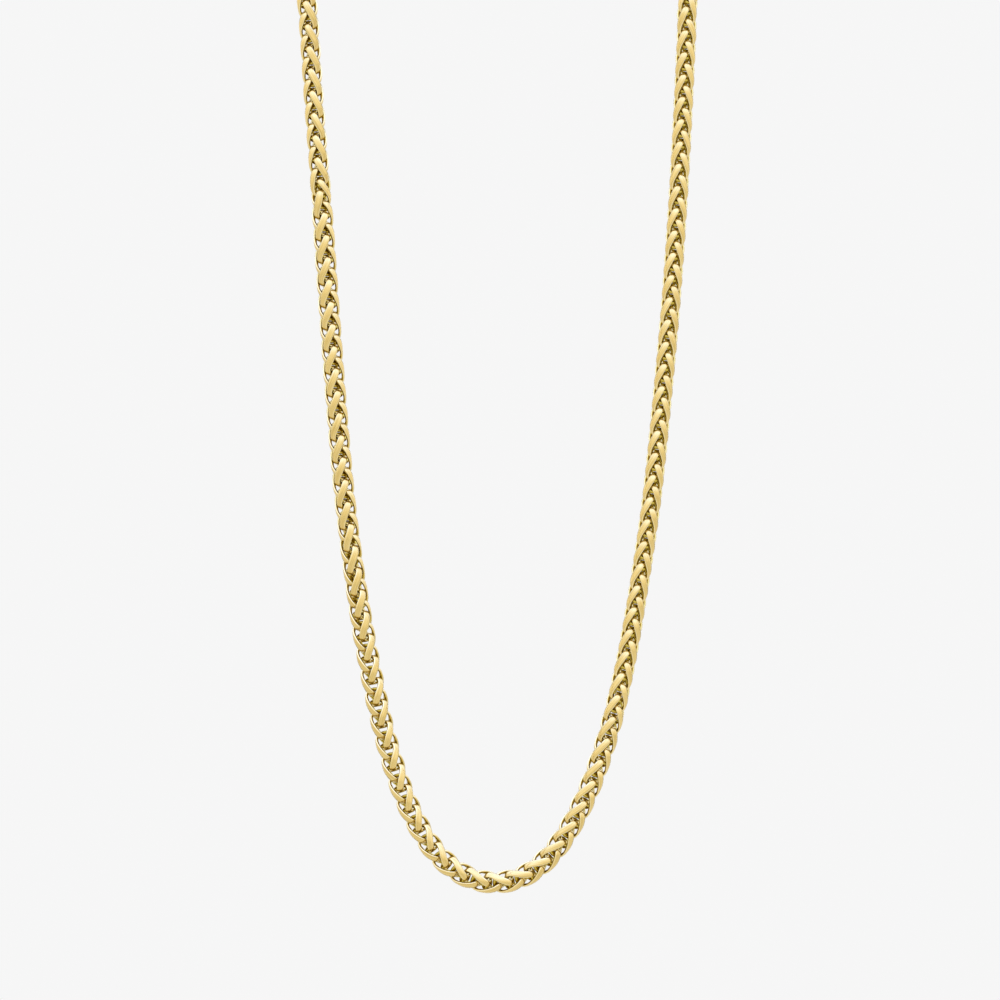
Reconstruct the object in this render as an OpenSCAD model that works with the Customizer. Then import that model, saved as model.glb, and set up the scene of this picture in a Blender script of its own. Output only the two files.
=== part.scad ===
// A 4 mm wheat chain necklace, clasped and hanging. Millimetres, +Z up, the wearer faces -Y.
// The origin is the nape, in the middle of the closed clasp. The chain is kept here as its round outer form.

/* [Chain] */
// Outer diameter of the chain
chain_d = 4.1; // [3.9:0.05:4.15]
// Sides of the chain's round form
chain_sides = 10; // [8:1:12]

/* [Hang] */
// How far the hanging front lies forward of the nape
front_y = 71; // [68:1:74]
// How far each end of the chain turns forward from the line of the clasp, in degrees
nape_turn = 17; // [14:1:20]

/* [End caps] */
// Outside diameter of an end cap
cap_d = 5; // [5:0.1:5.4]
// Bore of an end cap, which the chain fits with a small gap
cap_bore = 4.4; // [4.4:0.05:4.5]
// Length of an end cap's barrel
cap_len = 4.4; // [4:0.1:5]
// Height of an end cap's dome
dome_h = 1.4; // [1.2:0.1:1.6]
// How much of the dome's tip is flat, where the eye is soldered on
dome_flat = 0.15; // [0.1:0.05:0.2]
// How deep the chain sits in its cap
chain_seat = 3.2; // [2.5:0.1:3.4]
// Thickness of the floor between the bore and the dome
cap_floor = 0.2; // [0.2:0.1:0.4]

/* [Rings and eyes] */
// Wire diameter of the jump rings and the eyes
wire_d = 0.8; // [0.7:0.05:0.8]
// Middle radius of a jump ring
ring_r = 1.9; // [1.9:0.05:2.1]
// Middle radius of an eye
eye_r = 1.2; // [1.15:0.05:1.3]
// Gap between linked wires
link_gap = 0.2; // [0.15:0.05:0.25]

/* [Clasp] */
// Middle radius of the claw's round end
claw_r = 2.5; // [2.4:0.1:2.8]
// Wire diameter of the claw
claw_d = 1.5; // [1.3:0.1:1.5]
// Half the angle that the claw's round end covers
claw_sweep = 115; // [105:5:125]
// Length of the clasp, from the middle of its eye to the middle of the claw's round end
clasp_len = 8; // [7.6:0.1:8.6]
// Diameter of the barrel at the foot of the claw
barrel_d = 2.6; // [2.4:0.1:3]
// Length of that barrel
barrel_len = 2; // [1.8:0.1:2.2]
// Diameter of the thumb rest
thumb_d = 1; // [0.8:0.1:1.1]
// How far the thumb rest leans back and stands out
thumb_reach = 1; // [0.8:0.1:1.2]

/* [Hidden] */
$fn = 64;
gold = [0.86, 0.72, 0.42];

// The clasp lies along X. Linked wires pull on each other, so each distance is a sum of radii and a gap.
eye_to_ring = ring_r + eye_r - wire_d - link_gap;
claw_to_ring = ring_r + claw_r - (wire_d + claw_d) / 2 - link_gap;
ring_x = (eye_to_ring + clasp_len + claw_to_ring) / 2;
clasp_eye_x = eye_to_ring - ring_x;
claw_x = clasp_eye_x + clasp_len;

// Along the turned axis of an end cap, from the middle of its ring
dome_at = eye_to_ring + eye_r;
mouth_at = dome_at + dome_h + cap_len;
chain_at = mouth_at - chain_seat;

// side is -1 on the left and 1 on the right
function cap_axis(side) = [side * cos(nape_turn), -sin(nape_turn), 0];
function on_cap_axis(side, d) = [side * ring_x, 0, 0] + d * cap_axis(side);

// From the nape over the shoulder to the front, the same on both sides: [x outwards, y forwards, z]
shoulder = [
    [30, 9, -2], [41.2, 20.5, -7], [47, 37.5, -15], [45.9, 55.3, -25.5], [41.2, 67.3, -35.8]
];
// Where the two strands hang in front: [x outwards, z]
left_strand = [
    [38.7, -46], [38.1, -53], [37.1, -68], [35.7, -86], [34.3, -106], [32.8, -126], [31, -146],
    [28.5, -165], [25.7, -181], [22.5, -195], [18.4, -207], [13.2, -216], [7.3, -221]
];
right_strand = [
    [37.7, -46], [37.3, -53], [36.6, -68], [35.6, -86], [34.2, -106], [32.4, -126], [30.3, -146],
    [27.5, -165], [24.6, -181], [21, -195], [16.4, -207], [11, -216], [5.2, -221]
];
lowest = [-1, -222.5];

function reversed(v) = [for (i = [len(v) - 1:-1:0]) v[i]];
function strand(side, table) = concat(
    [for (d = [chain_at, mouth_at, mouth_at + straight_out]) on_cap_axis(side, d)],
    [for (p = shoulder) [side * p[0], -p[1], p[2]]],
    [for (p = table) [side * p[0], -front_y, p[1]]]
);
// The chain leaves its cap straight, and a point beyond each end keeps it straight inside.
straight_out = 3;
lead_in = 5;
route = concat(
    [on_cap_axis(-1, chain_at - lead_in)],
    strand(-1, left_strand),
    [[lowest[0], -front_y, lowest[1]]],
    reversed(strand(1, right_strand)),
    [on_cap_axis(1, chain_at - lead_in)]
);
low_i = len(left_strand) + len(shoulder) + 4;
last_i = len(route) - 2;

// A smooth curve through the route's points. u counts them, so u = 3.5 is half-way from point 3 to point 4.
function curve(u) =
    let (i = min(floor(u), last_i - 1), t = u - i)
    let (a = route[i - 1], b = route[i], c = route[i + 1], d = route[i + 2])
    0.5 * (2 * b + (c - a) * t + (2 * a - 5 * b + 4 * c - d) * t * t + (3 * b - a - 3 * c + d) * t * t * t);
function unit(v) = v / norm(v);
du = 0.01;
function heading(u) = unit(curve(min(u + du, last_i)) - curve(max(u - du, 1)));

// A round section across the curve. It starts on the side that faces away from the loop's middle.
loop_middle = [0, -40, -100];
function section(u) =
    let (p = curve(u), across = unit(cross(heading(u), p - loop_middle)), out = cross(across, heading(u)))
    [for (k = [0:chain_sides - 1])
        let (a = 360 * k / chain_sides)
        p + chain_d / 2 * (cos(a) * out + sin(a) * across)];

rings_per_point = 2;
module tube(from, to) {
    n = (to - from) * rings_per_point;
    s = chain_sides;
    points = [for (j = [0:n]) each section(from + j / rings_per_point)];
    sides = [for (j = [0:n - 1], k = [0:s - 1])
        let (a = j * s + k, b = j * s + (k + 1) % s)
        each [[a, a + s, b + s], [a, b + s, b]]];
    ends = [[for (k = [0:s - 1]) k], [for (k = [s - 1:-1:0]) n * s + k]];
    polyhedron(points, concat(sides, ends), convexity = 6);
}

module chain_left() {
    color(gold) tube(1, low_i);
}

module chain_right() {
    color(gold) tube(low_i, last_i);
}

// A wire ring whose hole faces Y when upright, or Z when it lies flat
module wire_ring(r, d, upright) {
    rotate([upright ? 90 : 0, 0, 0])
        rotate_extrude() translate([r, 0]) circle(d = d);
}

// The section of a cup that is soldered on the chain's end: the radius runs to the right and the axis upwards
module cap_section() {
    dome_r = (dome_h * dome_h + cap_d * cap_d / 4) / (2 * dome_h);
    difference() {
        union() {
            translate([0, dome_at + dome_h]) square([cap_d / 2, cap_len]);
            intersection() {
                translate([0, dome_at + dome_r]) circle(dome_r);
                translate([0, dome_at + dome_flat]) square([cap_d / 2, dome_h - dome_flat]);
            }
        }
        translate([0, dome_at + dome_h + cap_floor]) square([cap_bore / 2, mouth_at]);
    }
}

// The cup with its eye, drawn along +X from the middle of its ring
module end_cap() {
    rotate([0, 90, 0]) rotate_extrude() cap_section();
    translate([eye_to_ring, 0, 0]) wire_ring(eye_r, wire_d, true);
}

module placed_cap(side) {
    color(gold) translate([side * ring_x, 0, 0])
        rotate([0, 0, side > 0 ? -nape_turn : 180 + nape_turn])
            end_cap();
}

module end_cap_left() {
    placed_cap(-1);
}

module end_cap_right() {
    placed_cap(1);
}

module ring_left() {
    color(gold) translate([-ring_x, 0, 0]) wire_ring(ring_r, wire_d, false);
}

module ring_right() {
    color(gold) translate([ring_x, 0, 0]) wire_ring(ring_r, wire_d, false);
}

// A straight round bar with rounded ends
module bar(a, b, d) {
    v = b - a;
    translate(a) sphere(d = d);
    translate(b) sphere(d = d);
    translate(a) rotate([0, acos(v[2] / norm(v)), atan2(v[1], v[0])]) cylinder(d = d, h = norm(v));
}

// The closed clasp as one piece: a claw, the barrel at its foot, an eye and a thumb rest
module clasp() {
    barrel_end = clasp_eye_x + eye_r;
    foot = [barrel_end + barrel_len, 0, 0];
    tip = [claw_x + claw_r * cos(claw_sweep), 0, claw_r * sin(claw_sweep)];
    color(gold) {
        translate([claw_x, 0, 0]) rotate([90, 0, 0]) rotate([0, 0, -claw_sweep])
            rotate_extrude(angle = 2 * claw_sweep) translate([claw_r, 0]) circle(d = claw_d);
        for (up = [-1, 1]) bar(foot, [tip[0], 0, up * tip[2]], claw_d);
        translate([barrel_end, 0, 0]) rotate([0, 90, 0]) cylinder(d = barrel_d, h = barrel_len);
        translate(foot) sphere(d = barrel_d);
        translate([clasp_eye_x, 0, 0]) wire_ring(eye_r, wire_d, true);
        bar(tip, tip + thumb_reach * [-1, 0, 1], thumb_d);
    }
}

chain_left();
chain_right();
end_cap_left();
end_cap_right();
ring_left();
ring_right();
clasp();
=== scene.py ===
"""The looks of a wheat chain necklace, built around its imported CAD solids.

The two halves of the chain are laid out link by link along the route of the CAD tubes.
The fittings at the nape are softened copies of their solids. Sizes in the tables are in
millimetres, and Blender's are in metres. +Z is up and the wearer faces -Y.
"""

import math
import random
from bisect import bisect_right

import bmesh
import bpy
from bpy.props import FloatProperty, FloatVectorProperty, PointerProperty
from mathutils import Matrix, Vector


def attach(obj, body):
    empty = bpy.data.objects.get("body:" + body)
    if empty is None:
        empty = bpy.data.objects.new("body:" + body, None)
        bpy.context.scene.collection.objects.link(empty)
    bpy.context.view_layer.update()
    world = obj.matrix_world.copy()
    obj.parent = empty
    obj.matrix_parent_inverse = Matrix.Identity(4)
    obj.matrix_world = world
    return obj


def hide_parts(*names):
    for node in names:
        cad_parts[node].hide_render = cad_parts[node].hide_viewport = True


bl_info = {
    "name": "Wheat Chain Necklace",
    "version": (1, 0, 0),
    "blender": (4, 5, 0),
    "location": "View3D > Sidebar > Wheat Chain",
    "description": "Builds the links, the nape fittings, the gold and the studio of a wheat chain",
    "category": "Add Mesh",
}

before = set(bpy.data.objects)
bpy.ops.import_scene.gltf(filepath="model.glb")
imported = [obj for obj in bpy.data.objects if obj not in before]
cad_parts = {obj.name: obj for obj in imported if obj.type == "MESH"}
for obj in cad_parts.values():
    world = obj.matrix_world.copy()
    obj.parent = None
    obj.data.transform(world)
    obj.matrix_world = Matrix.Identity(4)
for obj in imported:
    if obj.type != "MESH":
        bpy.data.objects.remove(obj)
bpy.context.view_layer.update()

MM = 0.001

# The chain's route, point for point as in the CAD source.
# From the nape over the shoulder to the front, on both sides: [x outwards, y forwards, z]
SHOULDER = [
    [30, 9, -2], [41.2, 20.5, -7], [47, 37.5, -15], [45.9, 55.3, -25.5], [41.2, 67.3, -35.8],
]
# Where the two strands hang in front: [x outwards, z]
LEFT_STRAND = [
    [38.7, -46], [38.1, -53], [37.1, -68], [35.7, -86], [34.3, -106], [32.8, -126], [31, -146],
    [28.5, -165], [25.7, -181], [22.5, -195], [18.4, -207], [13.2, -216], [7.3, -221],
]
RIGHT_STRAND = [
    [37.7, -46], [37.3, -53], [36.6, -68], [35.6, -86], [34.2, -106], [32.4, -126], [30.3, -146],
    [27.5, -165], [24.6, -181], [21, -195], [16.4, -207], [11, -216], [5.2, -221],
]
LOWEST = [-1, -222.5]
FRONT_Y = 71
NAPE_TURN = math.radians(17)
RING_X = 6.575
CHAIN_AT, CAP_MOUTH_AT, STRAIGHT_OUT, LEAD_IN = 5.9, 9.1, 3, 5
# How much deeper the end links reach into their caps than the tube does
CAP_ROOM = 0.8

# The next four are on one scale: millimetres along the chain from the picture's top on the left.
# How far the chain has turned about its own line: [millimetres, degrees]
ROLL = [
    [35, 67], [42, 13], [104, 13], [112, -6], [123, -12], [132, -28], [170, -28], [192, -26], [226, -26], [240, -43],
]
# How long the links are beside their own length. Shorter ones show gaps between them.
LENGTHS = [[126, 1], [132, 0.93], [176, 0.93], [184, 1]]
# How much wider the links are on each side, in millimetres
SPREADS = [[36, 0], [44, 0.15], [116, 0.15], [128, 0.27], [215, 0.27], [239, 0.12], [256, 0]]
# Where one link of the first row lies
LINK_MARK = 41
# Height of the picture's top
PICTURE_TOP = -46

# Thickness and width of the wire beside the half sizes of its section, which smoothing makes smaller
SMOOTHED_THICKNESS, SMOOTHED_WIDTH = 1.8, 1.9

# How far apart the draw lines of two links may start, on the scale of the grain
GRAIN_SHIFT = 20
# Scales of the gold's noise, on a piece in metres: the redder patches, the wear and the marks on the fittings
PATCHES, WEAR, FITTING_MARKS = 260, 900, 600
# Scales of the noise on a link's wire in millimetres: the draw lines and the scratches
DRAW_LINES, SCRATCHES = 5, 14
# Millimetres from the wire's middle line: where the painted highlight along the edges starts, and where it is full
HIGHLIGHT_START, HIGHLIGHT_FULL = 0.52, 0.7
# Millimetres outwards from the wire's middle: where the painted shade on the wire's inner side starts, and where it
# is full
INNER_SHADE_START, INNER_SHADE_FULL = 0.05, -0.15
# Millimetres from the chain's middle: where the painted shade deep between the links starts, and where it is full
RECESS_SHADE_START, RECESS_SHADE_FULL = 1.6, 1.0
# How dark the painted shade on the wire's inner side and deep between the links gets
PAINTED_SHADE_STRENGTH = 0.9
BUMP_STRENGTH = 0.3

# The studio's light: [height on the sky from 0 at the bottom to 1 at the top, colour]
SKY = [
    [0, (0.82, 0.81, 0.78)], [0.5, (1.1, 1.09, 1.06)], [0.62, (1.18, 1.2, 1.3)],
    [0.75, (1.3, 1.45, 2.05)], [0.88, (1.5, 1.75, 3.0)],
]
FLOOR_LIGHT = (0.93, 0.93, 0.92)
FLOOR_RADIUS = 12
SENSOR_WIDTH = 36


class ChainSizes(bpy.types.PropertyGroup):
    pitch: FloatProperty(
        name="Pitch", description="From one link to the next in its row",
        default=4.46 * MM, unit="LENGTH")
    half_width: FloatProperty(
        name="Half width", description="From the chain's middle to a link's wire",
        default=1.78 * MM, unit="LENGTH")
    half_length: FloatProperty(
        name="Half length", description="From a link's middle to the wire at its end",
        default=3.04 * MM, unit="LENGTH")
    corner: FloatProperty(
        name="Corner", description="Radius of a link's corners at the wire's middle",
        default=1.5 * MM, unit="LENGTH")
    wire_width: FloatProperty(
        name="Wire width", description="Width of the wire round the chain",
        default=1.4 * MM, unit="LENGTH")
    wire_thickness: FloatProperty(
        name="Wire thickness", description="Thickness of the wire across the chain",
        default=0.64 * MM, unit="LENGTH")
    swell: FloatProperty(
        name="Swell", description="How much wider the wire is at a link's sides",
        default=0.22, subtype="FACTOR")
    thickening: FloatProperty(
        name="Thickening", description="How much thicker the wire is across a link's ends",
        default=1.1, subtype="FACTOR")
    flattening: FloatProperty(
        name="Flattening", description="How far the dome is flattened across a link's ends",
        default=0.5, subtype="FACTOR")
    crown: FloatProperty(
        name="Crown", description="How far the wire's outer face is domed",
        default=0.6, subtype="FACTOR")
    taper: FloatProperty(
        name="Taper", description="Width of the wire's inner face beside its outer face",
        default=0.75, subtype="FACTOR")
    edge: FloatProperty(
        name="Edge", description="How sharp the edges of the wire's outer face are",
        default=0.8, subtype="FACTOR")
    twist: FloatProperty(
        name="Twist", description="Turn from a link's middle to its end",
        default=math.radians(46), subtype="ANGLE")


class GoldFinish(bpy.types.PropertyGroup):
    colour: FloatVectorProperty(
        name="Gold", description="Colour of polished gold",
        default=(0.835, 0.635, 0.25), subtype="COLOR")
    deep_colour: FloatVectorProperty(
        name="Deeper gold", description="Colour of its redder patches",
        default=(0.79, 0.58, 0.21), subtype="COLOR")
    line_colour: FloatVectorProperty(
        name="Draw lines", description="Colour of the lines along the wire",
        default=(0.66, 0.475, 0.155), subtype="COLOR")
    # Painted highlight: a paler colour along the edges of the wire, where light glints on them
    edge_highlight_colour: FloatVectorProperty(
        name="Edges", description="Colour of the polished edges of the wire",
        default=(0.95, 0.82, 0.47), subtype="COLOR")
    # Painted shade: the darker colour on the wire's inner side and deep between the links, where shade falls
    painted_shade_colour: FloatVectorProperty(
        name="Recess", description="Colour deep between the links",
        default=(0.53, 0.405, 0.05), subtype="COLOR")
    # How strong the painted highlight along the wire's edges is
    edges: FloatProperty(
        name="Edge strength", description="How strong the edges' colour is",
        default=0.65, subtype="FACTOR")
    lines: FloatProperty(
        name="Line strength", description="How strong the draw lines are",
        default=0.9, subtype="FACTOR")
    smoothest: FloatProperty(
        name="Smoothest", description="Lowest roughness",
        default=0.13, subtype="FACTOR")
    roughest: FloatProperty(
        name="Roughest", description="Highest roughness",
        default=0.24, subtype="FACTOR")


class StudioSetup(bpy.types.PropertyGroup):
    camera_distance: FloatProperty(
        name="Camera distance", description="From the camera to the front of the necklace",
        default=1.2, unit="LENGTH")
    frame_width: FloatProperty(
        name="Frame width", description="Width of the picture at the front of the necklace",
        default=0.2, unit="LENGTH")
    frame_middle: FloatProperty(
        name="Frame middle", description="Height of the picture's middle",
        default=-0.146, unit="LENGTH")
    floor_height: FloatProperty(
        name="Floor", description="Height of the floor",
        default=-0.32, unit="LENGTH")
    backdrop: FloatProperty(
        name="Backdrop", description="Brightness of the floor and backdrop",
        default=0.923, subtype="FACTOR")


# ---------------------------------------------------------------- the route

def route_points():
    """The route's points in metres and the lowest one's number. One more lies before the start and after the end."""
    def on_cap_axis(side, d):
        return Vector((side * (RING_X + d * math.cos(NAPE_TURN)), -d * math.sin(NAPE_TURN), 0))

    def strand(side, table):
        points = [on_cap_axis(side, d) for d in (CHAIN_AT, CAP_MOUTH_AT, CAP_MOUTH_AT + STRAIGHT_OUT)]
        points += [Vector((side * x, -y, z)) for x, y, z in SHOULDER]
        return points + [Vector((side * x, -FRONT_Y, z)) for x, z in table]

    points = [on_cap_axis(-1, CHAIN_AT - LEAD_IN)] + strand(-1, LEFT_STRAND)
    low = len(points)
    points += [Vector((LOWEST[0], -FRONT_Y, LOWEST[1]))]
    points += strand(1, RIGHT_STRAND)[::-1] + [on_cap_axis(1, CHAIN_AT - LEAD_IN)]
    return [p * MM for p in points], low


class Walk:
    """Walks along the route by length. Each step has its place, heading and the side towards the viewer."""

    STEPS = 40

    def __init__(self):
        points, low_point = route_points()
        low = (low_point - 1) * self.STEPS
        self.places = []
        for i in range(1, len(points) - 2):
            a, b, c, d = points[i - 1:i + 3]
            for k in range(self.STEPS):
                t = k / self.STEPS
                self.places.append(0.5 * (2 * b + (c - a) * t + (2 * a - 5 * b + 4 * c - d) * t * t
                                          + (3 * b - a - 3 * c + d) * t ** 3))
        self.places.append(points[-2].copy())
        last = len(self.places) - 1
        self.headings = [(self.places[min(i + 1, last)] - self.places[max(i - 1, 0)]).normalized()
                         for i in range(last + 1)]
        self.lengths = [0.0]
        for a, b in zip(self.places, self.places[1:]):
            self.lengths.append(self.lengths[-1] + (b - a).length)
        # The side that faces the viewer at the lowest point is carried both ways without turning.
        self.facing = [None] * (last + 1)
        self.facing[low] = Vector((0, -1, 0))
        for step, stop in ((1, last), (-1, 0)):
            for i in range(low, stop, step):
                turn = self.headings[i].rotation_difference(self.headings[i + step])
                side = turn @ self.facing[i]
                side -= side.dot(self.headings[i + step]) * self.headings[i + step]
                self.facing[i + step] = side.normalized()
        self.low = self.lengths[low]
        self.end = self.lengths[-1]
        self.picture_top = next(self.lengths[i] for i in range(low)
                                if self.places[i].z < PICTURE_TOP * MM)

    def at(self, length):
        """The place, the heading and the side towards the viewer, a length along the route from its start."""
        i = min(max(bisect_right(self.lengths, length) - 1, 0), len(self.lengths) - 2)
        t = (length - self.lengths[i]) / (self.lengths[i + 1] - self.lengths[i])
        return (self.places[i].lerp(self.places[i + 1], t),
                self.headings[i].lerp(self.headings[i + 1], t).normalized(),
                self.facing[i].lerp(self.facing[i + 1], t).normalized())

    def looked_up(self, table, length):
        """A value from ROLL, LENGTHS or SPREADS, which changes evenly from one entry to the next."""
        along = (length - self.picture_top) / MM
        if along <= table[0][0]:
            return table[0][1]
        for (a, low), (b, high) in zip(table, table[1:]):
            if along <= b:
                return low + (high - low) * (along - a) / (b - a)
        return table[-1][1]

    def frame_at(self, length, turn):
        """Turns a link's section onto the route: its x axis goes to the side that is turned by turn degrees."""
        place, heading, facing = self.at(length)
        side = Matrix.Rotation(math.radians(self.looked_up(ROLL, length) + turn), 3, heading) @ facing
        side = (side - side.dot(heading) * heading).normalized()
        frame_ = Matrix((side, heading.cross(side), heading)).transposed().to_4x4()
        frame_.translation = place
        return frame_


# ---------------------------------------------------------------- meshes

def smooth_piece(name, bm, material, smoothing=1):
    """Makes a bmesh a smooth piece of the necklace."""
    mesh = bpy.data.meshes.new(name)
    bm.to_mesh(mesh)
    bm.free()
    mesh.shade_smooth()
    mesh.materials.append(material)
    piece = bpy.data.objects.new(name, mesh)
    bpy.context.scene.collection.objects.link(piece)
    if smoothing:
        subsurf = piece.modifiers.new("Smoothing", "SUBSURF")
        subsurf.levels = subsurf.render_levels = smoothing
    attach(piece, "root")
    return piece


def run_on(bm, loop, step, count=1):
    """Extrudes an edge loop by a step, count times. Returns the last loop."""
    for _ in range(count):
        edges = [g for g in loop if isinstance(g, bmesh.types.BMEdge)]
        made = bmesh.ops.extrude_edge_only(bm, edges=edges)["geom"]
        verts = {g for g in made if isinstance(g, bmesh.types.BMVert)}
        bmesh.ops.translate(bm, verts=list(verts), vec=Vector(step))
        loop = list(verts) + [g for g in made if isinstance(g, bmesh.types.BMEdge) and verts.issuperset(g.verts)]
    return loop


def turn_on(bm, loop, centre, count):
    """Spins an edge loop by a quarter turn round a corner. Returns the last loop."""
    return bmesh.ops.spin(bm, geom=loop, cent=centre, axis=(0, -1, 0), dvec=(0, 0, 0), angle=math.pi / 2,
                          steps=count, use_merge=False, use_duplicate=False)["geom_last"]


def link_mesh(sizes, hand, spread):
    """One closed link round its own middle, long in z. hand is 1 or -1, the way that it twists."""
    a, b, corner = sizes.half_width + spread, sizes.half_length, sizes.corner
    thick, wide = sizes.wire_thickness / SMOOTHED_THICKNESS, sizes.wire_width / SMOOTHED_WIDTH
    rim = thick * (1 - sizes.crown)
    back = wide * sizes.taper
    bm = bmesh.new()
    section = [bm.verts.new((a + x, y, 0)) for x, y in (
        (thick, 0), (rim, wide), (-thick, back), (-thick, -back), (rim, -wide))]
    loop = section + [bm.edges.new((p, q)) for p, q in zip(section, section[1:] + section[:1])]
    side, end = b - corner, a - corner
    loop = run_on(bm, loop, (0, 0, side))
    loop = turn_on(bm, loop, (end, 0, side), 2)
    loop = run_on(bm, loop, (-2 * end, 0, 0))
    loop = turn_on(bm, loop, (-end, 0, side), 2)
    loop = run_on(bm, loop, (0, 0, -side), 2)
    loop = turn_on(bm, loop, (-end, 0, -side), 2)
    loop = run_on(bm, loop, (2 * end, 0, 0))
    loop = turn_on(bm, loop, (end, 0, -side), 2)
    run_on(bm, loop, (0, 0, side))
    bmesh.ops.remove_doubles(bm, verts=bm.verts, dist=1e-7)

    # In millimetres, for the gold: the place on the wire's section, and the distance from the chain's middle, by
    # which the shade deep between the links is painted
    grain = bm.verts.layers.float_vector.new("grain")
    depth = bm.verts.layers.float.new("depth")
    for v in bm.verts:
        x, y, z = v.co
        corner_x, corner_z = max(abs(x) - end, 0), max(abs(z) - side, 0)
        outwards = math.hypot(corner_x, corner_z) - corner
        v[grain] = Vector((outwards, y, 0)) / MM
        # The wire is widest at the middle of a link's sides, and thicker and flatter across its ends.
        y *= 1 + sizes.swell * max(0, 1 - (z / side) ** 2)
        across = math.sin(math.atan2(corner_z, corner_x))
        away = (sizes.thickening * outwards * across if outwards < 0
                else sizes.flattening * (thick - outwards) * across ** 4)
        out = Vector((math.copysign(corner_x, x), 0, math.copysign(corner_z, z))).normalized()
        v.co = Matrix.Rotation(hand * sizes.twist * z / b, 3, "Z") @ (Vector((x, y, z)) + away * out)
        v[depth] = math.hypot(v.co.x, v.co.y) / MM
    # The lines along the wire at the sides of its outer face are sharp, and those of its inner face half as sharp.
    crease = bm.edges.layers.float.new("crease_edge")
    for e in bm.edges:
        p, q = (v[grain] for v in e.verts)
        if (q - p).length < 1e-4 and abs(p.y) > 1e-4:
            e[crease] = sizes.edge if abs(p.x - rim / MM) < 1e-3 else sizes.edge / 2
    bmesh.ops.recalc_face_normals(bm, faces=bm.faces)
    mesh = bpy.data.meshes.new("link")
    bm.to_mesh(mesh)
    bm.free()
    return mesh


def add_link(bm, mesh, walk, length, turn, tone):
    """Adds a link that follows the route round its place there, and gives it its own tone."""
    start = len(bm.verts)
    bm.from_mesh(mesh)
    layer = bm.verts.layers.float.get("tone") or bm.verts.layers.float.new("tone")
    grain = bm.verts.layers.float_vector["grain"]
    scale = walk.looked_up(LENGTHS, length)
    bm.verts.ensure_lookup_table()
    for v in bm.verts[start:]:
        x, y, z = v.co
        # A shorter link is only shorter outside, because its inner faces rest on its neighbours in the row.
        along = z if v[grain].x < 0 else z * scale
        v.co = walk.frame_at(length + along, turn) @ Vector((x, y, 0))
        v[layer] = tone


def softened_copy(node, material, voxel, smoothing):
    """A CAD solid's copy with its edges and joins softened, as cast and polished metal has them."""
    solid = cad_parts[node]
    bm = bmesh.new()
    bm.from_mesh(solid.data)
    bmesh.ops.remove_doubles(bm, verts=bm.verts, dist=1e-6)
    piece = smooth_piece(node + "_gold", bm, material, 0)
    remesh = piece.modifiers.new("Casting", "REMESH")
    remesh.mode, remesh.voxel_size, remesh.use_smooth_shade = "VOXEL", voxel, True
    relax = piece.modifiers.new("Polish", "SMOOTH")
    relax.factor, relax.iterations = 0.5, smoothing
    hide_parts(node)


# ---------------------------------------------------------------- materials

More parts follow.
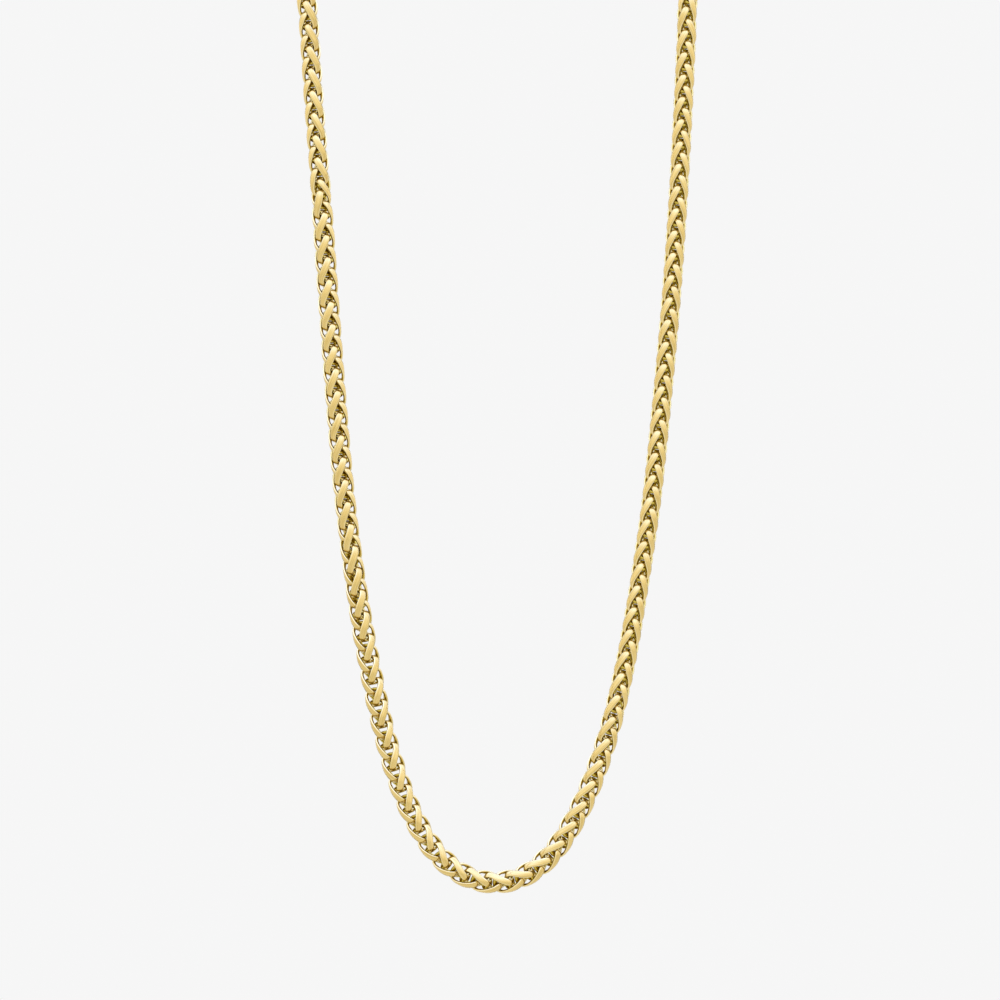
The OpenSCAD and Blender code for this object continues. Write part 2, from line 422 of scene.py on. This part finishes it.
def gold(name, finish, links):
    """Polished yellow gold. On the links it follows the wire, with a painted highlight along the wire's edges and
    painted shade on its inner side and deep between the links.
    """
    material = bpy.data.materials.get(name) or bpy.data.materials.new(name)
    material.use_nodes = True
    tree = material.node_tree
    tree.nodes.clear()
    join = tree.links.new

    def node(kind, **values):
        made = tree.nodes.new(kind)
        for key, value in values.items():
            setattr(made, key, value)
        return made

    def mapped(source, low, high, to_low, to_high):
        made = node("ShaderNodeMapRange")
        join(source, made.inputs["Value"])
        for socket, value in (("From Min", low), ("From Max", high), ("To Min", to_low), ("To Max", to_high)):
            made.inputs[socket].default_value = value
        return made.outputs["Result"]

    def mixed(factor, first, second):
        made = node("ShaderNodeMix", data_type="RGBA")
        join(factor, made.inputs["Factor"])
        for socket, value in ((made.inputs[6], first), (made.inputs[7], second)):
            if isinstance(value, bpy.types.NodeSocket):
                join(value, socket)
            else:
                socket.default_value = (*value, 1)
        return made.outputs[2]

    def noise(vector, scale, detail):
        made = node("ShaderNodeTexNoise")
        join(vector, made.inputs["Vector"])
        made.inputs["Scale"].default_value = scale
        made.inputs["Detail"].default_value = detail
        return made.outputs["Fac"]

    output = node("ShaderNodeOutputMaterial")
    shader = node("ShaderNodeBsdfPrincipled")
    join(shader.outputs[0], output.inputs["Surface"])
    shader.inputs["Metallic"].default_value = 1
    place = node("ShaderNodeTexCoord").outputs["Object"]

    colour = mixed(mapped(noise(place, PATCHES, 2), 0.35, 0.65, 0, 1), finish.colour, finish.deep_colour)
    roughness = mapped(noise(place, WEAR, 3), 0.3, 0.7, finish.smoothest, finish.roughest)
    bump = node("ShaderNodeBump")
    if links:
        grain = node("ShaderNodeAttribute", attribute_name="grain").outputs["Vector"]
        outwards = node("ShaderNodeSeparateXYZ")
        join(grain, outwards.inputs[0])
        drawn = node("ShaderNodeVectorMath", operation="ADD")
        join(grain, drawn.inputs[0])
        join(node("ShaderNodeAttribute", attribute_name="tone").outputs["Vector"], drawn.inputs[1])
        grain = drawn.outputs[0]
        colour = mixed(mapped(noise(grain, DRAW_LINES, 1), 0.4, 0.7, 0, finish.lines), colour, finish.line_colour)
        across = node("ShaderNodeMath", operation="ABSOLUTE")
        join(outwards.outputs["Y"], across.inputs[0])
        # Painted highlight along the edges of the wire's section
        colour = mixed(mapped(across.outputs[0], HIGHLIGHT_START, HIGHLIGHT_FULL, 0, finish.edges), colour, finish.edge_highlight_colour)
        # Painted shade on the inner side of the wire
        inner_shade = mapped(outwards.outputs["X"], INNER_SHADE_START, INNER_SHADE_FULL, 0, PAINTED_SHADE_STRENGTH)
        colour = mixed(inner_shade, colour, finish.painted_shade_colour)
        # Painted shade deep between the links, darker nearer the chain's middle
        depth = node("ShaderNodeAttribute", attribute_name="depth").outputs["Fac"]
        recess_shade = mapped(depth, RECESS_SHADE_START, RECESS_SHADE_FULL, 0, PAINTED_SHADE_STRENGTH)
        colour = mixed(recess_shade, colour, finish.painted_shade_colour)
        height = noise(grain, SCRATCHES, 2)
        bump.inputs["Distance"].default_value = 0.02 * MM
    else:
        height = noise(place, FITTING_MARKS, 2)
        colour = mixed(mapped(height, 0.3, 0.7, 0.4, 0.55), colour, finish.line_colour)
        bump.inputs["Distance"].default_value = 0.005 * MM
    bump.inputs["Strength"].default_value = BUMP_STRENGTH
    join(height, bump.inputs["Height"])
    join(colour, shader.inputs["Base Color"])
    join(roughness, shader.inputs["Roughness"])
    join(bump.outputs[0], shader.inputs["Normal"])
    return material


# ---------------------------------------------------------------- operators

class NECKLACE_OT_chain(bpy.types.Operator):
    """Lay the links of both halves of the chain along the route"""

    bl_idname = "necklace.chain"
    bl_label = "Chain"

    def execute(self, context):
        settings = context.scene.wheat_chain
        sizes = settings.chain
        material = gold("polished gold", settings.gold, True)
        walk = Walk()
        pitch = sizes.pitch
        reach = sizes.half_length + sizes.wire_thickness / 2 - CAP_ROOM * MM
        rows = [(1, 0, 0), (-1, 90, 0.5)]
        halves = {"left": bmesh.new(), "right": bmesh.new()}
        mark = walk.picture_top + LINK_MARK * MM
        count = 0
        first, last = (reach - mark) // pitch, (walk.end - reach - mark) // pitch
        for number in range(int(first), int(last) + 1):
            for hand, turn, shift in rows:
                length = mark + (number + shift) * pitch
                if not reach < length < walk.end - reach:
                    continue
                tone = random.Random(count).uniform(0, GRAIN_SHIFT)
                half = halves["left" if length < walk.low else "right"]
                mesh = link_mesh(sizes, hand, walk.looked_up(SPREADS, length) * MM)
                add_link(half, mesh, walk, length, turn, tone)
                bpy.data.meshes.remove(mesh)
                count += 1
        for half, bm in halves.items():
            piece = smooth_piece("wheat_chain_" + half, bm, material)
            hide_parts("chain_" + half)
        print("links", count)
        return {"FINISHED"}


class NECKLACE_OT_fittings(bpy.types.Operator):
    """Soften the end caps, the rings and the clasp and finish them in gold"""

    bl_idname = "necklace.fittings"
    bl_label = "Nape fittings"

    def execute(self, context):
        material = gold("fitting gold", context.scene.wheat_chain.gold, False)
        for node in ("end_cap_left", "end_cap_right", "ring_left", "ring_right", "clasp"):
            softened_copy(node, material, voxel=0.08 * MM, smoothing=3)
        return {"FINISHED"}


class NECKLACE_OT_stage(bpy.types.Operator):
    """Set up the pale floor, the light and the camera"""

    bl_idname = "necklace.stage"
    bl_label = "Stage"

    def execute(self, context):
        studio = context.scene.wheat_chain.studio
        scene = context.scene
        scene.view_settings.view_transform = "Standard"
        data = bpy.data.cameras.new("camera")
        data.sensor_width = SENSOR_WIDTH
        data.lens = data.sensor_width * studio.camera_distance / studio.frame_width
        data.clip_start, data.clip_end = 0.01, 50
        camera = bpy.data.objects.new("camera", data)
        camera.location = (0, -FRONT_Y * MM - studio.camera_distance, studio.frame_middle)
        camera.rotation_euler = (math.pi / 2, 0, 0)
        scene.collection.objects.link(camera)
        scene.camera = camera

        bm = bmesh.new()
        bmesh.ops.create_circle(bm, cap_ends=True, segments=64, radius=FLOOR_RADIUS)
        bmesh.ops.translate(bm, verts=bm.verts, vec=(0, 0, studio.floor_height))
        mesh = bpy.data.meshes.new("floor")
        bm.to_mesh(mesh)
        bm.free()
        floor = bpy.data.objects.new("floor", mesh)
        scene.collection.objects.link(floor)
        mesh.materials.append(pale_floor(studio.backdrop))
        scene.world = studio_world(studio.backdrop)
        return {"FINISHED"}


def pale_floor(brightness):
    """A floor that looks evenly pale and throws light back as white paper does."""
    material = bpy.data.materials.new("pale floor")
    material.use_nodes = True
    tree = material.node_tree
    tree.nodes.clear()
    join = tree.links.new
    path = tree.nodes.new("ShaderNodeLightPath")
    paper = tree.nodes.new("ShaderNodeEmission")
    paper.inputs["Color"].default_value = (*FLOOR_LIGHT, 1)
    glow = tree.nodes.new("ShaderNodeEmission")
    glow.inputs["Color"].default_value = (brightness,) * 3 + (1,)
    mix = tree.nodes.new("ShaderNodeMixShader")
    join(path.outputs["Is Camera Ray"], mix.inputs["Fac"])
    join(paper.outputs[0], mix.inputs[1])
    join(glow.outputs[0], mix.inputs[2])
    output = tree.nodes.new("ShaderNodeOutputMaterial")
    join(mix.outputs[0], output.inputs["Surface"])
    return material


def studio_world(brightness):
    """Soft light from above, less from the sides and little from below, and the backdrop's tone for the eye."""
    world = bpy.data.worlds.new("studio")
    world.use_nodes = True
    tree = world.node_tree
    tree.nodes.clear()
    join = tree.links.new
    coords = tree.nodes.new("ShaderNodeTexCoord")
    axes = tree.nodes.new("ShaderNodeSeparateXYZ")
    join(coords.outputs["Generated"], axes.inputs[0])
    height = tree.nodes.new("ShaderNodeMapRange")
    height.inputs["From Min"].default_value = -1
    join(axes.outputs["Z"], height.inputs["Value"])
    ramp = tree.nodes.new("ShaderNodeValToRGB")
    join(height.outputs[0], ramp.inputs[0])
    for i, (at, value) in enumerate(SKY):
        stop = ramp.color_ramp.elements[i] if i < 2 else ramp.color_ramp.elements.new(at)
        stop.position = at
        stop.color = (*value, 1)
    light = tree.nodes.new("ShaderNodeBackground")
    join(ramp.outputs[0], light.inputs["Color"])
    seen = tree.nodes.new("ShaderNodeBackground")
    seen.inputs["Color"].default_value = (brightness,) * 3 + (1,)
    path = tree.nodes.new("ShaderNodeLightPath")
    mix = tree.nodes.new("ShaderNodeMixShader")
    join(path.outputs["Is Camera Ray"], mix.inputs["Fac"])
    join(light.outputs[0], mix.inputs[1])
    join(seen.outputs[0], mix.inputs[2])
    output = tree.nodes.new("ShaderNodeOutputWorld")
    join(mix.outputs[0], output.inputs["Surface"])
    return world


class NecklaceSettings(bpy.types.PropertyGroup):
    chain: PointerProperty(type=ChainSizes)
    gold: PointerProperty(type=GoldFinish)
    studio: PointerProperty(type=StudioSetup)


class NECKLACE_PT_panel(bpy.types.Panel):
    bl_idname = "NECKLACE_PT_panel"
    bl_label = "Wheat Chain"
    bl_space_type = "VIEW_3D"
    bl_region_type = "UI"
    bl_category = "Wheat Chain"

    def draw(self, context):
        settings = context.scene.wheat_chain
        for title, group in (("Chain", settings.chain), ("Gold", settings.gold), ("Studio", settings.studio)):
            box = self.layout.box()
            box.label(text=title)
            for name in group.__annotations__:
                box.prop(group, name)
        for operator in OPERATORS:
            self.layout.operator(operator.bl_idname)


OPERATORS = (NECKLACE_OT_chain, NECKLACE_OT_fittings, NECKLACE_OT_stage)
CLASSES = (ChainSizes, GoldFinish, StudioSetup, NecklaceSettings, *OPERATORS, NECKLACE_PT_panel)


def register():
    for cls in CLASSES:
        bpy.utils.register_class(cls)
    bpy.types.Scene.wheat_chain = PointerProperty(type=NecklaceSettings)


def unregister():
    del bpy.types.Scene.wheat_chain
    for cls in reversed(CLASSES):
        bpy.utils.unregister_class(cls)


def main():
    register()
    bpy.ops.necklace.chain()
    bpy.ops.necklace.fittings()
    bpy.ops.necklace.stage()


if __name__ == "__main__":
    main()
